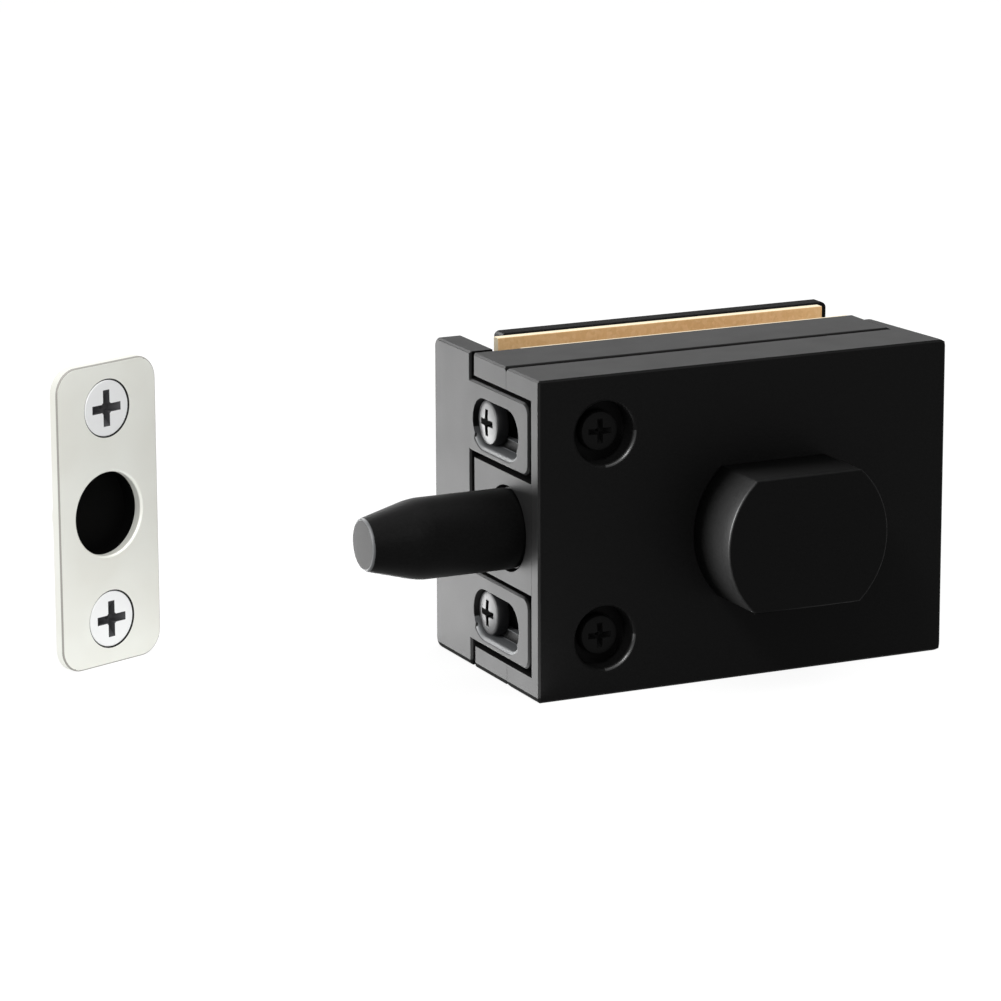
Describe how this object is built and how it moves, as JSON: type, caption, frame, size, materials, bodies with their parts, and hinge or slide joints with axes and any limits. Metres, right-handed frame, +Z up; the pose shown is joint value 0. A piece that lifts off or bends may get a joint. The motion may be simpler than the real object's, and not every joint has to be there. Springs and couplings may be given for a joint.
{
  "type": "glass door lock",
  "caption": "Clamp-on glass door lock: black case with a thumb knob, a round tapered bolt and a gasket-lined rear jaw, with a separate strike plate and screws.",
  "frame": {"origin": "on the bolt axis, in the plane of the end face that the bolt leaves", "axes": "the bolt points to -X, the knob faces -Y, the glass lies on the +Y side of the case, and +Z is up as the lock stands in the picture, on its long side"},
  "size_m": [0.1669, 0.089, 0.064],
  "materials": {
    "black_case": "satin black coating on die-cast and machined metal",
    "fibre_gasket": "tan cork and rubber fibre sheet",
    "black_screw": "black zinc",
    "steel": "turned",
    "brass": "turned",
    "nylon": "moulded",
    "strike_steel": "satin",
    "bright_screw": "bright",
    "black_plastic": "moulded"
  },
  "bodies": {
    "case": {"front_cover": "black_case", "lock_body": "black_case", "front_gasket": "fibre_gasket", "clamp_screws": "black_screw", "end_screws": "black_screw", "cover_screws": "black_screw", "bolt_bush": "brass", "spindle_bush": "brass", "spindle_washer": "nylon", "detent_spring": "steel", "strike_plate": "strike_steel", "strike_collar": "strike_steel", "strike_dust_cup": "black_plastic", "strike_screws": "bright_screw"},
    "bolt_slider": {"bolt": "black_case", "bolt_yoke": "steel", "yoke_screws": "steel"},
    "thumb_turn": {"knob": "black_case", "knob_grub_screw": "black_screw", "spindle": "steel", "spindle_circlip": "steel", "crank_arm": "steel", "crank_pin": "steel"},
    "glass_jaw": {"rear_jaw": "black_case", "rear_gasket": "fibre_gasket"},
    "ball": {"detent_ball": "steel"}
  },
  "joints": [
    {"name": "knob_turn", "type": "hinge", "parent": "case", "child": "thumb_turn", "pos_m": [0.0511, -0.0142, -0.0018], "axis": [0, 1, 0], "range_deg": [0, 90]},
    {"name": "bolt_slide", "type": "slide", "parent": "case", "child": "bolt_slider", "axis": [1, 0, 0], "range_m": [0, 0.031]},
    {"name": "jaw_slide", "type": "slide", "parent": "case", "child": "glass_jaw", "axis": [0, 1, 0], "range_m": [0, 0.011]},
    {"name": "detent_lift", "type": "slide", "parent": "case", "child": "ball", "axis": [0, 0, 1], "range_m": [0, 0.00045]}
  ],
  "couplings": [
    {"joint": "bolt_slide", "follows": "knob_turn", "m_per_rad": 0.019735}
  ]
}
